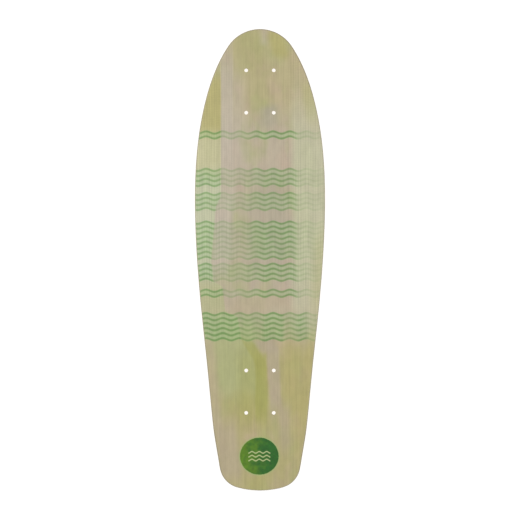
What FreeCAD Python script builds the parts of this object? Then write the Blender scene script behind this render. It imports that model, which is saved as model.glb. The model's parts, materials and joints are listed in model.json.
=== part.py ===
import FreeCAD, Part
import math
import os

# A cruiser skateboard deck: seven maple veneers glued into one bent board, with a printed film on
# its underside and two bolt patterns drilled through for the trucks.
#
# Frame, in millimetres: +Y runs from the tail to the nose, +X across the deck, and +Z out of the
# printed underside, so the deck lies as it does on a bench while its trucks are fitted.
# X and Y are 0 at the middle of the deck's width and length, and Z is 0 at its lowest point.

# Plan outline
DECK_LENGTH = 692.0
DECK_WIDTH = 194.4
WIDEST_FROM_NOSE = 278.0
NOSE_RADIUS = 56.8
NOSE_ARC_HALF_ANGLE = 56.0
TAIL_WIDTH = 120.2
TAIL_CROWN_RADIUS = 127.0
TAIL_CORNER_RADIUS = 36.0
TAIL_SIDE_TAPER = 9.4
# How the sides run between the ends: the distance from that end, and how far each edge has drawn
# in there from the line of the widest place
NOSE_SIDE_STATIONS = ((113.6, 14.1),)
TAIL_SIDE_STATIONS = ((264.0, 10.0), (174.0, 19.5), (95.0, 27.3))

# Truck bolt patterns: four holes each, on a rectangle
BOLT_SPACING_ACROSS = 41.275
BOLT_SPACING_ALONG = 63.5
BOLT_HOLE_DIAMETER = 5.6
NOSE_TIP_TO_BOLTS = 61.9
TAIL_END_TO_BOLTS = 117.0
PAD_BEYOND_BOLTS = 9.0

# Bends: the tail kicks up towards the rider, the nose lifts a little, and the rails are raised
KICK_ANGLE = 15.0
KICK_BEND_LENGTH = 45.0
NOSE_LIFT_ANGLE = 8.0
NOSE_BEND_LENGTH = 40.0
CONCAVE_DEPTH = 7.0
LEVEL_WIDTH = 100.0
TAIL_CONCAVE_FADE = 70.0
NOSE_CONCAVE_FADE = 45.0

# Layers, and the rounding of the rims
VENEER_THICKNESS = 1.5
GLUE_THICKNESS = 0.1
FILM_THICKNESS = 0.2
RIM_RADIUS = 2.4
VENEERS = (
    "underside_face_veneer",
    "underside_inner_veneer",
    "underside_crossband",
    "core_veneer",
    "topside_crossband",
    "topside_inner_veneer",
    "topside_face_veneer",
)

# The surfaces pass through points at about this spacing
GRID_STEP = 10.0
# How far the level surfaces reach past the outline, and the side past both faces
GRID_MARGIN = 14.0
SIDE_MARGIN = 4.0
# The side is one smooth surface all round, made as this many equal stretches
SIDE_STRETCHES = 2
SAME_PLACE = 0.0001

NOSE_TIP_Y = DECK_LENGTH / 2.0
TAIL_END_Y = -DECK_LENGTH / 2.0
NOSE_BOLTS_Y = NOSE_TIP_Y - NOSE_TIP_TO_BOLTS
TAIL_BOLTS_Y = TAIL_END_Y + TAIL_END_TO_BOLTS
NOSE_BEND_Y = NOSE_BOLTS_Y + PAD_BEYOND_BOLTS
TAIL_BEND_Y = TAIL_BOLTS_Y - PAD_BEYOND_BOLTS


def smooth_share(run, length):
    """0 before a transition, 1 after it, and an eased share of it in between."""
    t = min(max(run / length, 0.0), 1.0)
    return t * t * (3.0 - 2.0 * t)


def bend_drop(run, bend_length, angle):
    """Drop after a run that eases from level into a straight slope over bend_length."""
    t = min(max(run / bend_length, 0.0), 1.0)
    eased = bend_length * (t**3 - t**4 / 2.0)
    straight = max(run - bend_length, 0.0)
    return math.tan(math.radians(angle)) * (eased + straight)


def underside_height(x, y):
    """Height of the underside, which is 0 where the trucks bolt on."""
    kick = bend_drop(TAIL_BEND_Y - y, KICK_BEND_LENGTH, KICK_ANGLE)
    lift = bend_drop(y - NOSE_BEND_Y, NOSE_BEND_LENGTH, NOSE_LIFT_ANGLE)
    rail = max(abs(x) - LEVEL_WIDTH / 2.0, 0.0) / (DECK_WIDTH / 2.0 - LEVEL_WIDTH / 2.0)
    fade = smooth_share(TAIL_BOLTS_Y - y, TAIL_CONCAVE_FADE)
    fade = max(fade, smooth_share(y - NOSE_BOLTS_Y, NOSE_CONCAVE_FADE))
    return -kick - lift - CONCAVE_DEPTH * rail**2 * (1.0 - fade)


def point_below_underside(x, y, depth):
    """Point at that depth into the board, measured square to the underside at x, y."""
    reach = 0.01
    slope_x = (underside_height(x + reach, y) - underside_height(x - reach, y)) / (2.0 * reach)
    slope_y = (underside_height(x, y + reach) - underside_height(x, y - reach)) / (2.0 * reach)
    size = math.sqrt(1.0 + slope_x**2 + slope_y**2)
    offset = FreeCAD.Vector(slope_x, slope_y, -1.0) * (depth / size)
    return FreeCAD.Vector(x, y, underside_height(x, y)) + offset


def grid_values(half_extent):
    """Evenly spaced values from -half_extent to half_extent, about GRID_STEP apart."""
    count = math.ceil(2.0 * half_extent / GRID_STEP)
    return [half_extent * (2.0 * i / count - 1.0) for i in range(count + 1)]


def level_face(depth):
    """The whole surface at one depth into the board, reaching past the outline all round."""
    columns = grid_values(DECK_WIDTH / 2.0 + GRID_MARGIN)
    rows = grid_values(DECK_LENGTH / 2.0 + GRID_MARGIN)
    surface = Part.BSplineSurface()
    surface.interpolate([[point_below_underside(x, y, depth) for y in rows] for x in columns])
    return surface.toShape()


def on_circle(centre, radius, angle):
    """Point on a circle in plan, its angle measured from -Y towards +X."""
    return centre + FreeCAD.Vector(math.sin(angle), -math.cos(angle), 0.0) * radius


def mirrored(point):
    """The same point on the deck's other side."""
    return FreeCAD.Vector(-point.x, point.y, point.z)


def outline_wire():
    """Plan outline: nose arc, sides, rounded tail corners and a crowned tail end, all tangent."""
    half_width = DECK_WIDTH / 2.0
    nose_angle = math.pi - math.radians(NOSE_ARC_HALF_ANGLE)
    nose_centre = FreeCAD.Vector(0.0, NOSE_TIP_Y - NOSE_RADIUS, 0.0)
    nose_end = on_circle(nose_centre, NOSE_RADIUS, nose_angle)

    side_angle = math.radians(90.0 - TAIL_SIDE_TAPER)
    corner_x = TAIL_WIDTH / 2.0 - TAIL_CORNER_RADIUS * math.sin(side_angle)
    crown_angle = math.asin(corner_x / (TAIL_CROWN_RADIUS - TAIL_CORNER_RADIUS))
    crown_centre = FreeCAD.Vector(0.0, TAIL_END_Y + TAIL_CROWN_RADIUS, 0.0)
    crown_end = on_circle(crown_centre, TAIL_CROWN_RADIUS, crown_angle)
    corner_centre = on_circle(crown_centre, TAIL_CROWN_RADIUS - TAIL_CORNER_RADIUS, crown_angle)
    corner_middle = on_circle(corner_centre, TAIL_CORNER_RADIUS, (crown_angle + side_angle) / 2.0)
    corner_end = on_circle(corner_centre, TAIL_CORNER_RADIUS, side_angle)

    stations = [(NOSE_TIP_Y - run, inset) for run, inset in NOSE_SIDE_STATIONS]
    stations.append((NOSE_TIP_Y - WIDEST_FROM_NOSE, 0.0))
    stations += [(TAIL_END_Y + run, inset) for run, inset in TAIL_SIDE_STATIONS]
    between = [FreeCAD.Vector(half_width - inset, y, 0.0) for y, inset in stations]
    side = Part.BSplineCurve()
    side.interpolate(
        Points=[nose_end, *between, corner_end],
        InitialTangent=FreeCAD.Vector(-math.cos(nose_angle), -math.sin(nose_angle), 0.0),
        FinalTangent=FreeCAD.Vector(-math.cos(side_angle), -math.sin(side_angle), 0.0),
    )
    corner = Part.Arc(corner_end, corner_middle, crown_end).toShape()
    nose_tip = FreeCAD.Vector(0.0, NOSE_TIP_Y, 0.0)
    tail_end = FreeCAD.Vector(0.0, TAIL_END_Y, 0.0)
    half = [side.toShape(), corner]
    other_half = [edge.mirror(FreeCAD.Vector(), FreeCAD.Vector(1.0, 0.0, 0.0)) for edge in half]
    ends = [
        Part.Arc(mirrored(nose_end), nose_tip, nose_end).toShape(),
        Part.Arc(crown_end, tail_end, mirrored(crown_end)).toShape(),
    ]
    return Part.Wire(Part.sortEdges(half + other_half + ends)[0])


def side_point(plan_point, depth):
    """Point on the board's side: straight through it, square to its faces, from the underside.

    The side passes through the plan outline at the depth where the underside's rounded rim ends.
    """
    x, y = plan_point.x, plan_point.y
    rim_end = point_below_underside(x, y, RIM_RADIUS)
    return point_below_underside(2.0 * x - rim_end.x, 2.0 * y - rim_end.y, depth)


def side_faces(thickness):
    """The board's whole side in equal stretches, reaching past both of its faces."""
    outline = outline_wire()
    count = math.ceil(outline.Length / GRID_STEP)
    plan_points = outline.discretize(Number=count + 1)[:-1]
    curves = []
    for depth in (-SIDE_MARGIN, thickness + SIDE_MARGIN):
        curve = Part.BSplineCurve()
        curve.interpolate(
            Points=[side_point(point, depth) for point in plan_points],
            PeriodicFlag=True,
            Parameters=[float(i) for i in range(count + 1)],
        )
        curves.append(curve)
    cuts = [count * i / SIDE_STRETCHES for i in range(SIDE_STRETCHES + 1)]
    return [
        Part.makeRuledSurface(*[curve.toShape(start, end) for curve in curves])
        for start, end in zip(cuts, cuts[1:])
    ]


def rounded_blank(thickness):
    """The whole board between its two faces and inside its side, with both rims rounded."""
    faces = [level_face(0.0), level_face(thickness)]
    low = min(face.BoundBox.ZMin for face in faces) - thickness
    high = max(face.BoundBox.ZMax for face in faces) + thickness
    half_width = DECK_WIDTH / 2.0 + GRID_MARGIN / 2.0
    half_length = DECK_LENGTH / 2.0 + GRID_MARGIN / 2.0
    corner = FreeCAD.Vector(-half_width, -half_length, low)
    block = Part.makeBox(2.0 * half_width, 2.0 * half_length, high - low, corner)
    pieces, _ = block.generalFuse([*faces, *side_faces(thickness)])
    blank = min(pieces.Solids, key=lambda solid: solid.BoundBox.XLength)
    broad_faces = sorted(blank.Faces, key=lambda face: face.Area)[-2:]
    rims = [edge for face in broad_faces for edge in face.OuterWire.Edges]
    return blank.makeFillet(RIM_RADIUS, rims)


def bolt_holes(low, high):
    """Cylinders for both bolt patterns, running straight through the board."""
    cylinders = []
    for outer_y, inward in ((NOSE_BOLTS_Y, -1.0), (TAIL_BOLTS_Y, 1.0)):
        for y in (outer_y, outer_y + inward * BOLT_SPACING_ALONG):
            for side in (-1.0, 1.0):
                foot = FreeCAD.Vector(side * BOLT_SPACING_ACROSS / 2.0, y, low)
                cylinders.append(Part.makeCylinder(BOLT_HOLE_DIAMETER / 2.0, high - low, foot))
    return cylinders


def layer_plan():
    """Names and thicknesses of the layers, from the underside to the riding side."""
    layers = [("print_film", FILM_THICKNESS)]
    for number, veneer in enumerate(VENEERS):
        if number:
            layers.append((f"glue_line_{number}", GLUE_THICKNESS))
        layers.append((veneer, VENEER_THICKNESS))
    return layers


def layers_by_name(layers, solids):
    """Each layer's own solid: the one around the layer's middle, in the middle of the deck."""
    left, named, depth = list(solids), {}, 0.0
    for name, size in layers:
        middle = point_below_underside(0.0, 0.0, depth + size / 2.0)
        place = next(i for i, solid in enumerate(left) if solid.isInside(middle, SAME_PLACE, True))
        named[name] = left.pop(place)
        depth += size
    if left:
        raise ValueError(f"{len(left)} solids belong to no layer")
    return named


def drilled(layer, holes):
    """The layer with its bolt holes through it, still in one piece."""
    pieces = layer.cut(holes).Solids
    if len(pieces) != 1:
        raise ValueError(f"drilling left a layer in {len(pieces)} pieces")
    return pieces[0]


def build():
    """Every layer of the board by name, standing on Z = 0."""
    layers = layer_plan()
    thickness = sum(size for _, size in layers)
    blank = rounded_blank(thickness)
    depths = [sum(size for _, size in layers[:count]) for count in range(1, len(layers))]
    pieces, _ = blank.generalFuse([level_face(depth) for depth in depths])
    box = blank.BoundBox
    holes = bolt_holes(box.ZMin - thickness, box.ZMax + thickness)
    solids = layers_by_name(layers, pieces.Solids)
    board = {name: drilled(solid, holes) for name, solid in solids.items()}
    lift = -board[VENEERS[-1]].optimalBoundingBox(False).ZMin
    for solid in board.values():
        solid.translate(FreeCAD.Vector(0.0, 0.0, lift))
    print(f"thickness {thickness:.2f}, underside at the trucks z {lift:.3f}, solids {len(board)}")
    return board


os.makedirs("parts", exist_ok=True)
for node, shape in build().items():
    shape.exportStep(f"parts/{node}.step")
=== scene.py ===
import json
import math

import bpy
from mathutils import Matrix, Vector


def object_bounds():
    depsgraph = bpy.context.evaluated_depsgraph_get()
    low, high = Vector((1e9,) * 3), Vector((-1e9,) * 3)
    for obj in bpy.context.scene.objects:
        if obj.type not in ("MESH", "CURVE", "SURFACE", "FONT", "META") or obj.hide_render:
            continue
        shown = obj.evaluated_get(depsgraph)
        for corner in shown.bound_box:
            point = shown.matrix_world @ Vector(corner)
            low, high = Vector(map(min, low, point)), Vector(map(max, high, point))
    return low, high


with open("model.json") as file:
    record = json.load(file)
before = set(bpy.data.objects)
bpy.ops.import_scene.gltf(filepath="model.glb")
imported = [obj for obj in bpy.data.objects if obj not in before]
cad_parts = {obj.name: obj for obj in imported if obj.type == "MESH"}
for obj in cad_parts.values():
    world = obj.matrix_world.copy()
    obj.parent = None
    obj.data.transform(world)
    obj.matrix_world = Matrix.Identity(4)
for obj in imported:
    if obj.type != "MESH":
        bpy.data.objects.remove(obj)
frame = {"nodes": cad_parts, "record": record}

# A bare cruiser deck lying on its riding side: a printed underside, maple plies at the rims and in
# the bolt holes, and a plain lacquered riding side. Its shape is all CAD, and this script gives
# every layer its finish, and sets up the stage, the light and the camera.
DECK_LOW, DECK_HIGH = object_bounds()


# --- Short forms for node materials -----------------------------------------------------------

def screen(red, green, blue):
    """A colour given as it looks on screen, 0 to 255, as the linear RGBA that a socket holds."""
    return [((c / 255.0 + 0.055) / 1.055) ** 2.4 for c in (red, green, blue)] + [1.0]


class Finish:
    """One material, with short forms for the nodes that its colour and relief are made of."""

    def __init__(self, name, roughness, coat=0.0, coat_roughness=0.2):
        self.material = bpy.data.materials.new(name)
        self.material.use_nodes = True
        self.tree = self.material.node_tree
        self.shader = self.tree.nodes["Principled BSDF"]
        self.shader.inputs["Roughness"].default_value = roughness
        self.shader.inputs["Coat Weight"].default_value = coat
        self.shader.inputs["Coat Roughness"].default_value = coat_roughness
        self.place = self.node("ShaderNodeTexCoord").outputs["Object"]

    def node(self, kind, **settings):
        made = self.tree.nodes.new(kind)
        for name, value in settings.items():
            setattr(made, name, value)
        return made

    def feed(self, socket, value):
        """Links a node's output to the socket, or sets a constant there."""
        if isinstance(value, bpy.types.NodeSocket):
            self.tree.links.new(value, socket)
        else:
            socket.default_value = value

    def calc(self, operation, *values):
        made = self.node("ShaderNodeMath", operation=operation)
        for socket, value in zip(made.inputs, values):
            self.feed(socket, value)
        return made.outputs[0]

    def times(self, *values):
        product = values[0]
        for value in values[1:]:
            product = self.calc("MULTIPLY", product, value)
        return product

    def eased(self, value, zero_at, one_at):
        """A smooth step that is 0 at one value and 1 at another, whichever of them is larger."""
        rising = zero_at < one_at
        made = self.node("ShaderNodeMapRange", interpolation_type="SMOOTHSTEP")
        self.feed(made.inputs["Value"], value)
        made.inputs["From Min"].default_value = min(zero_at, one_at)
        made.inputs["From Max"].default_value = max(zero_at, one_at)
        made.inputs["To Min"].default_value = 0.0 if rising else 1.0
        made.inputs["To Max"].default_value = 1.0 if rising else 0.0
        return made.outputs["Result"]

    def curve(self, value, points):
        """A line through (place, level) points, which stays level beyond both ends."""
        first, last = points[0][0], points[-1][0]
        levels = [level for _, level in points]
        low, high = min(levels), max(levels)
        share = self.node("ShaderNodeMapRange")
        self.feed(share.inputs["Value"], value)
        share.inputs["From Min"].default_value = first
        share.inputs["From Max"].default_value = last
        ramp = self.node("ShaderNodeValToRGB")
        self.feed(ramp.inputs[0], share.outputs["Result"])
        marks = ramp.color_ramp.elements
        marks.remove(marks[1])
        for place, level in points:
            mark = marks[0] if place == first else marks.new((place - first) / (last - first))
            mark.position = (place - first) / (last - first)
            mark.color = [(level - low) / (high - low)] * 3 + [1.0]
        return self.spread(ramp.outputs[0], low, high)

    def spread(self, value, low, high):
        """Stretches an even 0 to 1 value to run from low to high."""
        return self.calc("MULTIPLY_ADD", value, high - low, low)

    def mix(self, share, first, second, kind="MIX"):
        made = self.node("ShaderNodeMix", data_type="RGBA", blend_type=kind)
        self.feed(made.inputs[0], share)
        self.feed(made.inputs[6], first)
        self.feed(made.inputs[7], second)
        return made.outputs[2]

    def parts(self, vector):
        made = self.node("ShaderNodeSeparateXYZ")
        self.feed(made.inputs[0], vector)
        return made.outputs

    def noise(self, per_metre, detail=2.0, seed=0.0, distortion=0.0):
        """Noise around 0.5, with that many features per metre along X, Y and Z."""
        place = self.node("ShaderNodeVectorMath", operation="MULTIPLY_ADD")
        self.feed(place.inputs[0], self.place)
        place.inputs[1].default_value = per_metre
        place.inputs[2].default_value = (seed, seed, seed)
        made = self.node("ShaderNodeTexNoise")
        self.feed(made.inputs["Vector"], place.outputs[0])
        made.inputs["Scale"].default_value = 1.0
        made.inputs["Detail"].default_value = detail
        made.inputs["Distortion"].default_value = distortion
        return made.outputs[0]

    def shade(self, colour, brightness):
        """The colour made lighter or darker by a brightness around 1."""
        grey = self.node("ShaderNodeCombineColor")
        for socket in grey.inputs[:3]:
            self.feed(socket, brightness)
        return self.mix(1.0, colour, grey.outputs[0], "MULTIPLY")

    def finish(self, colour, height, depth):
        """Sets the colour, and a relief whose height of 0 to 1 stands for that depth in metres."""
        self.feed(self.shader.inputs["Base Color"], colour)
        bump = self.node("ShaderNodeBump")
        bump.inputs["Distance"].default_value = depth
        self.feed(bump.inputs["Height"], height)
        self.feed(self.shader.inputs["Normal"], bump.outputs[0])
        return self.material


# --- The printed underside --------------------------------------------------------------------
# Lengths here are in millimetres. Places on the print are given across the deck, positive to the
# right of its middle line, and by the distance from the nose tip.

NOSE_KHAKI = screen(184, 173, 131)
MIDDLE_BEIGE = screen(187, 174, 151)
TAIL_KHAKI = screen(180, 171, 118)
BLOTCH_PINK = screen(192, 166, 146)
BLOTCH_GREEN = screen(166, 174, 112)
STRAW = screen(180, 172, 108)
PALE_STRAW = screen(193, 190, 145)
PALE_MINT = screen(190, 194, 160)
DULL_STRAW = screen(180, 180, 134)
OLIVE = screen(172, 167, 112)
LILAC = screen(192, 181, 163)
GREY = screen(171, 163, 141)
SAGE = screen(172, 176, 124)
LIME = screen(163, 162, 84)
MAUVE = screen(178, 164, 140)
OCHRE = screen(176, 165, 102)
TAN = screen(184, 169, 139)
PALE_RAIL = screen(194, 193, 160)

# The straight left edge of the print's second strip, as places from the nose and across
STRIP_EDGE = (
    (60, -58.5), (250, -58.5), (266, -66), (345, -73), (378, -70),
    (386, -56), (423, -52), (431, -34), (470, -27),
)
# What the first strip's straw colour turns into, and where each change starts and ends
STRIP_CHANGES = ((PALE_STRAW, 140, 175), (PALE_MINT, 195, 240), (DULL_STRAW, 365, 400))

# Stained areas: colour, where their middle is across and from the nose, half width, half length,
# how soft their long edges are, how far they lean across per length, and how strong they are
STAINS = (
    (OLIVE, -16, 30, 24, 30, 14, 0.0, 0.6),
    (STRAW, 27, 22, 12, 18, 7, 0.3, 0.8),
    (LILAC, 6, 8, 3, 16, 9, 0.0, 0.6),
    (LILAC, -50, 122, 9, 92, 2, 0.0, 0.6),
    (LILAC, -44, 140, 20, 80, 12, 0.0, 0.45),
    (OLIVE, 0, 95, 14, 34, 12, 0.0, 0.3),
    (GREY, 15, 138, 12, 18, 10, 0.0, 0.8),
    (STRAW, 76, 112, 10, 30, 6, 0.15, 0.6),
    (PALE_RAIL, 84, 275, 35, 160, 7, 0.0, 0.85),
    (STRAW, 92, 360, 14, 60, 10, -0.05, 0.35),
    (LILAC, -56, 300, 14, 68, 6, -0.06, 0.8),
    (GREY, 14, 295, 28, 70, 16, 0.0, 0.5),
    (TAN, 0, 413, 45, 14, 14, 0.0, 0.6),
    (SAGE, -36, 500, 34, 52, 12, 0.1, 0.85),
    (LIME, -8, 488, 8, 26, 3, 0.5, 0.6),
    (LIME, 2, 540, 9, 48, 2.5, 0.0, 0.75),
    (LIME, -14, 535, 18, 52, 12, 0.0, 0.4),
    (MAUVE, 10, 476, 13, 14, 5, 0.5, 0.7),
    (MAUVE, 22, 525, 9, 55, 3, 0.05, 0.7),
    (OCHRE, 50, 530, 14, 62, 10, -0.04, 0.5),
    (OCHRE, 72, 535, 10, 80, 5, -0.12, 0.5),
    (LIME, -30, 578, 22, 26, 14, 0.0, 0.3),
    (MAUVE, 38, 600, 8, 34, 6, 0.0, 0.5),
    (TAN, -48, 635, 17, 50, 8, 0.1, 0.85),
    (TAN, -74, 530, 10, 90, 6, 0.1, 0.6),
    (STRAW, -4, 682, 12, 14, 6, 0.0, 0.5),
)
SHORTEST_STAIN_END = 8.0

# Wavy lines in bands: each band's first line from the nose, its number of lines and its strength
BANDS = (
    (155, 2, 1.0), (211, 4, 0.85), (247, 4, 0.85), (290, 8, 0.95),
    (353, 4, 0.95), (392, 2, 0.95), (427, 6, 1.2),
)
WAVE_LENGTH = 25.1
WAVE_HEIGHT = 1.7
CREST_ACROSS = -5.5
LINE_PITCH = 7.55
LINE_WIDTH = 3.2
LINE_SOFTNESS = 1.0
# How strongly the waves print at places across the deck, right of the first strip
WAVE_STRENGTH = (
    (-75, 0.4), (-28, 0.5), (-10, 0.75), (8, 1.0), (46, 1.0),
    (53, 0.75), (58, 0.35), (75, 0.25), (97, 0.12),
)
LAST_BAND_STRENGTH = (
    (-40, 0.55), (0, 0.6), (8, 1.0), (32, 1.0), (38, 0.55),
    (53, 0.6), (60, 0.8), (68, 0.65), (76, 0.3), (97, 0.3),
)
LAST_BAND_FROM = 410.0
# The share of red, green and blue light that the wave ink lets through
WAVE_INK = (0.5, 0.68, 0.44, 1.0)
BAND_WASH = screen(150, 186, 128)
BAND_WASH_STRENGTH = 0.42
STRIP_WAVE_STRENGTH = [0.95, 0.95, 0.95, 1.0]

# Rows of fine dots that the print is made of, where they show
DOT_PITCH = 3.7
DOT_STRENGTH = 0.045

# Round badge on the kicktail, with three small waves as its mark
BADGE_ACROSS = -1.0
BADGE_FROM_NOSE = 640.0
BADGE_RADIUS = 29.0
MARK_WAVE_LENGTH = 11.0
MARK_WAVE_HEIGHT = 1.3
MARK_HALF_PITCH = 3.0
MARK_COLOUR = screen(190, 200, 140)
# The kicktail's slope, which foreshortens the badge in plan
KICK_ANGLE = math.radians(15.0)

# How deep the wood fibres show in the printed side, in metres
PRINT_RELIEF = 0.00008


def strip_mask(film, across, from_nose):
    """1 on the first strip, at the left of the print, and 0 elsewhere."""
    edge = film.curve(from_nose, STRIP_EDGE)
    beyond = film.calc("SUBTRACT", across, edge)
    return film.times(film.eased(beyond, 1.5, -1.5), film.eased(from_nose, 50.0, 85.0))


def blotched_wood(film, from_nose):
    """Maple through a blotchy khaki stain, pinker in the middle of the deck."""
    colour = film.mix(film.eased(from_nose, 95.0, 165.0), NOSE_KHAKI, MIDDLE_BEIGE)
    colour = film.mix(film.eased(from_nose, 395.0, 500.0), colour, TAIL_KHAKI)
    for hue, seed in ((BLOTCH_PINK, 0.0), (BLOTCH_GREEN, 7.3)):
        blotch = film.eased(film.noise((38, 22, 0), 5.0, seed), 0.42, 0.75)
        colour = film.mix(film.times(blotch, 0.5), colour, hue)
    return colour


def stained_wood(film, across, from_nose):
    """The stained areas on the blotched wood."""
    colour = blotched_wood(film, from_nose)
    drift = film.spread(film.noise((16, 16, 0), 3.0, 3.1), -6.0, 6.0)
    shifted = film.calc("ADD", across, film.times(drift, 0.7))
    further = film.calc("MULTIPLY_ADD", drift, 4.0, from_nose)
    for hue, middle, place, half_width, half_length, softness, lean, strength in STAINS:
        ahead = film.calc("SUBTRACT", further, place)
        line = film.calc("MULTIPLY_ADD", ahead, lean, middle)
        side = film.calc("ABSOLUTE", film.calc("SUBTRACT", shifted, line))
        end_softness = max(SHORTEST_STAIN_END, half_length / 2.0)
        beside = film.eased(side, half_width + softness, half_width - softness)
        along = film.eased(
            film.calc("ABSOLUTE", ahead), half_length + end_softness, half_length - end_softness
        )
        colour = film.mix(film.times(beside, along, strength), colour, hue)
    strip = STRAW
    for hue, start, end in STRIP_CHANGES:
        strip = film.mix(film.eased(further, start, end), strip, hue)
    fading = film.eased(from_nose, 500.0, 400.0)
    return film.mix(film.times(strip_mask(film, across, from_nose), fading, 0.85), colour, strip)


def wave_masks(film, across, from_nose):
    """The printed bands as a whole, and the dark lines in them."""
    turn = film.times(film.calc("SUBTRACT", across, CREST_ACROSS), math.tau / WAVE_LENGTH)
    level = film.calc("MULTIPLY_ADD", film.calc("COSINE", turn), WAVE_HEIGHT, from_nose)
    reach = LINE_WIDTH / 2.0 + LINE_SOFTNESS
    clear = LINE_WIDTH / 2.0 - LINE_SOFTNESS
    bands, lines = 0.0, 0.0
    for first, count, strength in BANDS:
        run = film.calc("SUBTRACT", level, first)
        last = (count - 1) * LINE_PITCH
        inside = film.times(
            film.eased(run, -reach, -clear), film.eased(run, last + reach, last + clear), strength
        )
        line = film.eased(film.calc("PINGPONG", run, LINE_PITCH / 2.0), reach, clear)
        bands = film.calc("MAXIMUM", bands, inside)
        lines = film.calc("MAXIMUM", lines, film.times(inside, line))
    return bands, lines


def wave_strength(film, across, from_nose):
    """How strongly the waves print at each place on the deck."""
    upper = film.curve(across, WAVE_STRENGTH)
    last = film.curve(across, LAST_BAND_STRENGTH)
    strength = film.mix(film.eased(from_nose, LAST_BAND_FROM - 1.0, LAST_BAND_FROM + 1.0), upper, last)
    strength = film.mix(strip_mask(film, across, from_nose), strength, STRIP_WAVE_STRENGTH)
    patchy = film.spread(film.noise((30, 30, 0), 3.0, 5.0), 0.65, 1.35)
    return film.times(strength, patchy)


def add_waves(film, colour, across, from_nose):
    """Green wavy lines on a paler green wash."""
    bands, lines = wave_masks(film, across, from_nose)
    strength = wave_strength(film, across, from_nose)
    colour = film.mix(film.times(bands, strength, BAND_WASH_STRENGTH), colour, BAND_WASH)
    ink = film.mix(1.0, colour, WAVE_INK, "MULTIPLY")
    return film.mix(film.calc("MINIMUM", film.times(lines, strength), 1.0), colour, ink)


def add_badge(film, colour, across, from_nose):
    """A green disc, lighter at the left, with a pale edge and three small pale waves in it."""
    x = film.calc("SUBTRACT", across, BADGE_ACROSS)
    y = film.calc("DIVIDE", film.calc("SUBTRACT", from_nose, BADGE_FROM_NOSE), math.cos(KICK_ANGLE))
    radius = film.calc("POWER", film.calc("ADD", film.times(x, x), film.times(y, y)), 0.5)
    ragged = film.spread(film.noise((500, 500, 0), 2.0, 1.7), -0.5, 0.5)
    radius = film.calc("ADD", radius, ragged)
    mottle = film.spread(film.noise((90, 90, 0), 4.0, 2.9), -34.0, 34.0)
    side = film.eased(film.calc("ADD", x, mottle), -26.0, 14.0)
    green = film.mix(side, screen(88, 130, 6), screen(32, 98, 18))
    green = film.shade(green, film.spread(film.noise((220, 220, 0), 4.0, 4.4), 0.55, 1.45))
    sway = film.times(film.calc("COSINE", film.times(x, math.tau / MARK_WAVE_LENGTH)), MARK_WAVE_HEIGHT)
    wrapped = film.calc("WRAP", film.calc("ADD", y, sway), MARK_HALF_PITCH, -MARK_HALF_PITCH)
    line = film.calc("ABSOLUTE", wrapped)
    mark = film.times(
        film.eased(line, 1.3, 0.7),
        film.eased(film.calc("ABSOLUTE", x), 16.7, 16.2),
        film.eased(film.calc("ABSOLUTE", film.calc("ADD", y, sway)), 9.0, 8.6),
    )
    green = film.mix(film.times(mark, 0.85), green, MARK_COLOUR)
    halo = film.eased(radius, BADGE_RADIUS + 2.6, BADGE_RADIUS + 1.0)
    colour = film.mix(film.times(halo, 0.5), colour, screen(162, 186, 116))
    return film.mix(film.eased(radius, BADGE_RADIUS + 0.4, BADGE_RADIUS - 0.4), colour, green)


def dots(film, across, from_nose):
    """Brightness of the dotted rows, which show most on the strip's right and on the rails."""
    rows = film.calc("COSINE", film.times(across, math.tau / DOT_PITCH))
    wander = film.spread(film.noise((90, 60, 0), 2.0, 8.8), -9.0, 9.0)
    along = film.calc("ADD", film.times(from_nose, math.tau / DOT_PITCH), wander)
    dotted = film.calc("MULTIPLY_ADD", film.calc("COSINE", along), 0.4, rows)
    edge = film.calc("ABSOLUTE", film.calc("ADD", across, 4.0))
    shown = film.times(film.eased(edge, 20.0, 62.0), film.eased(from_nose, 480.0, 400.0))
    return film.times(dotted, shown, DOT_STRENGTH)


def print_look(film):
    """The printed side's colour, and the height of its wood fibres."""
    x, y, _ = film.parts(film.place)
    across = film.times(x, 1000.0)
    from_nose = film.times(film.calc("SUBTRACT", DECK_HIGH.y, y), 1000.0)
    colour = stained_wood(film, across, from_nose)
    colour = add_waves(film, colour, across, from_nose)
    fibre = film.noise((900, 22, 0), 3.0)
    streak = film.noise((300, 5, 0), 3.0, 9.1)
    mottle = film.noise((110, 60, 0), 4.0, 12.6)
    brightness = film.calc("ADD", film.spread(fibre, 0.87, 1.13), film.spread(streak, -0.12, 0.12))
    brightness = film.calc("ADD", brightness, film.spread(mottle, -0.12, 0.12))
    brightness = film.calc("ADD", brightness, dots(film, across, from_nose))
    colour = film.shade(colour, brightness)
    return add_badge(film, colour, across, from_nose), fibre


def printed_film():
    """The whole printed underside under satin lacquer."""
    film = Finish("printed_film", roughness=0.45, coat=0.12, coat_roughness=0.3)
    colour, fibre = print_look(film)
    return film.finish(colour, fibre, PRINT_RELIEF)


def printed_veneer():
    """The veneer under the film: the print has soaked into its face, and its rim shows sanded bare wood,
    painted a darker grey-brown than maple as painted shade where the rounded edge turns away from straight
    up.
    """
    wood = Finish("printed_veneer", roughness=0.45, coat=0.12, coat_roughness=0.3)
    colour, fibre = print_look(wood)
    # Painted shade: this rim colour is darker than the bare maple, and it is laid on wherever the surface
    # tilts away from straight up.
    rim_wood_and_painted_shade = wood.shade(screen(152, 140, 108), wood.spread(wood.noise((700, 40, 700), 3.0), 0.72, 1.28))
    facing = wood.parts(wood.node("ShaderNodeNewGeometry").outputs["Normal"])[2]
    return wood.finish(wood.mix(wood.eased(facing, 0.98, 0.8), colour, rim_wood_and_painted_shade), fibre, PRINT_RELIEF)


# --- Maple ------------------------------------------------------------------------------------

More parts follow.
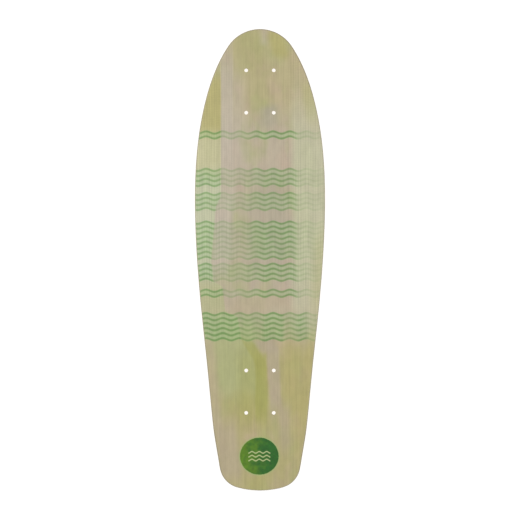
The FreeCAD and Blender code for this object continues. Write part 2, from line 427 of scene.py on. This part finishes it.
def maple(name, pale, dark, grain_along, figure):
    """Maple veneer: fibres along its grain, and speckled, darker end grain where it is cut across."""
    wood = Finish(name, roughness=0.48, coat=0.2, coat_roughness=0.3)
    along, beside = 14.0, 620.0
    fibre_scales = (beside, along, beside) if grain_along else (along, beside, beside)
    figure_scales = (38.0, 1.6, 22.0) if grain_along else (1.6, 38.0, 38.0)
    fibre = wood.noise(fibre_scales, 3.0)
    rings = wood.eased(wood.noise(figure_scales, 3.0, 4.0, 0.6), 0.35, 0.65)
    colour = wood.mix(wood.times(rings, figure), pale, dark)
    colour = wood.shade(colour, wood.spread(fibre, 0.82, 1.18))
    normal = wood.parts(wood.node("ShaderNodeNewGeometry").outputs["Normal"])
    cut = wood.eased(wood.calc("ABSOLUTE", normal[1 if grain_along else 0]), 0.45, 0.9)
    pores = wood.spread(wood.noise((1500, 1500, 1500), 2.0, 6.0), 0.55, 0.95)
    colour = wood.mix(cut, colour, wood.shade(dark, pores))
    return wood.finish(colour, fibre, 0.00006)


def glue():
    """Cured glue at the veneers' joins."""
    line = Finish("wood_glue", roughness=0.5)
    uneven = line.noise((300, 300, 300), 3.0)
    colour = line.mix(line.eased(uneven, 0.35, 0.65), screen(150, 118, 82), screen(118, 90, 60))
    return line.finish(colour, uneven, 0.00003)


def dress(node, material):
    """Gives one CAD node that material alone."""
    slots = frame["nodes"][node].data.materials
    slots.clear()
    slots.append(material)


def dress_nodes():
    """Gives every CAD node the material of its record slot."""
    materials = {
        "printed_film": printed_film(),
        "maple_face": maple("maple_face", screen(226, 203, 163), screen(206, 176, 132), True, 0.8),
        "maple_inner": maple("maple_inner", screen(220, 194, 152), screen(202, 170, 126), True, 0.8),
        "maple_crossband": maple("maple_crossband", screen(200, 166, 122), screen(176, 140, 98), False, 0.8),
        "wood_glue": glue(),
    }
    for part in frame["record"]["subparts"]:
        dress(part["node"], materials[part["material_slot"]])
    dress("underside_face_veneer", printed_veneer())


# --- Stage, light and camera ------------------------------------------------------------------

FLOOR_SIZE = 200.0


def resting_slope():
    """The kicktail's end and the nose both touch what the deck lies on: the rise between them."""
    mesh = frame["nodes"]["topside_face_veneer"].data
    foot = min((v.co for v in mesh.vertices), key=lambda co: co.z)
    ahead = [v.co for v in mesh.vertices if v.co.y > 0.0]
    return foot, min((co.z - foot.z) / (co.y - foot.y) for co in ahead)


def floor():
    """Plain white light table, laid against the deck's two touching ends.

    It glows a little, so its shadows are faint and the bolt holes show bright.
    """
    foot, slope = resting_slope()
    bpy.ops.mesh.primitive_plane_add(size=FLOOR_SIZE, location=(0.0, foot.y, foot.z))
    plane = bpy.context.object
    plane.name = "floor"
    plane.rotation_euler.x = math.atan(slope)
    sheet = Finish("light_table", roughness=0.9)
    sheet.shader.inputs["Emission Color"].default_value = (1.0, 1.0, 1.0, 1.0)
    sheet.shader.inputs["Emission Strength"].default_value = 0.84
    patchy = sheet.noise((3, 3, 3), 2.0)
    colour = sheet.mix(patchy, [0.28, 0.28, 0.28, 1.0], [0.32, 0.32, 0.32, 1.0])
    plane.data.materials.append(sheet.finish(colour, patchy, 0.0001))


def softbox(name, place, size, power):
    """Square soft light that faces the middle of the deck."""
    data = bpy.data.lights.new(name, "AREA")
    data.size = size
    data.energy = power
    light = bpy.data.objects.new(name, data)
    light.location = place
    light.rotation_euler = (-Vector(place)).to_track_quat("-Z", "Y").to_euler()
    bpy.context.scene.collection.objects.link(light)


def light():
    """Even white surroundings and two softboxes, one on each side."""
    world = bpy.data.worlds.new("studio")
    world.use_nodes = True
    world.node_tree.nodes["Background"].inputs["Color"].default_value = (1.0, 1.0, 1.0, 1.0)
    world.node_tree.nodes["Background"].inputs["Strength"].default_value = 0.6
    bpy.context.scene.world = world
    softbox("key_left", (-1.6, 0.9, 1.7), 1.6, 22.0)
    softbox("fill_right", (1.7, -0.7, 1.5), 1.6, 15.0)
    bpy.context.scene.view_settings.view_transform = "Standard"


def camera():
    """Long lens square above the printed side, with the nose at the top of the picture."""
    frame_width, lens, sensor = 0.7785, 400.0, 36.0
    data = bpy.data.cameras.new("camera")
    data.lens = lens
    data.sensor_width = sensor
    data.clip_end = 100.0
    made = bpy.data.objects.new("camera", data)
    made.location = (0.0, 0.0, DECK_HIGH.z + frame_width * lens / sensor)
    bpy.context.scene.collection.objects.link(made)
    bpy.context.scene.camera = made


dress_nodes()
floor()
light()
camera()
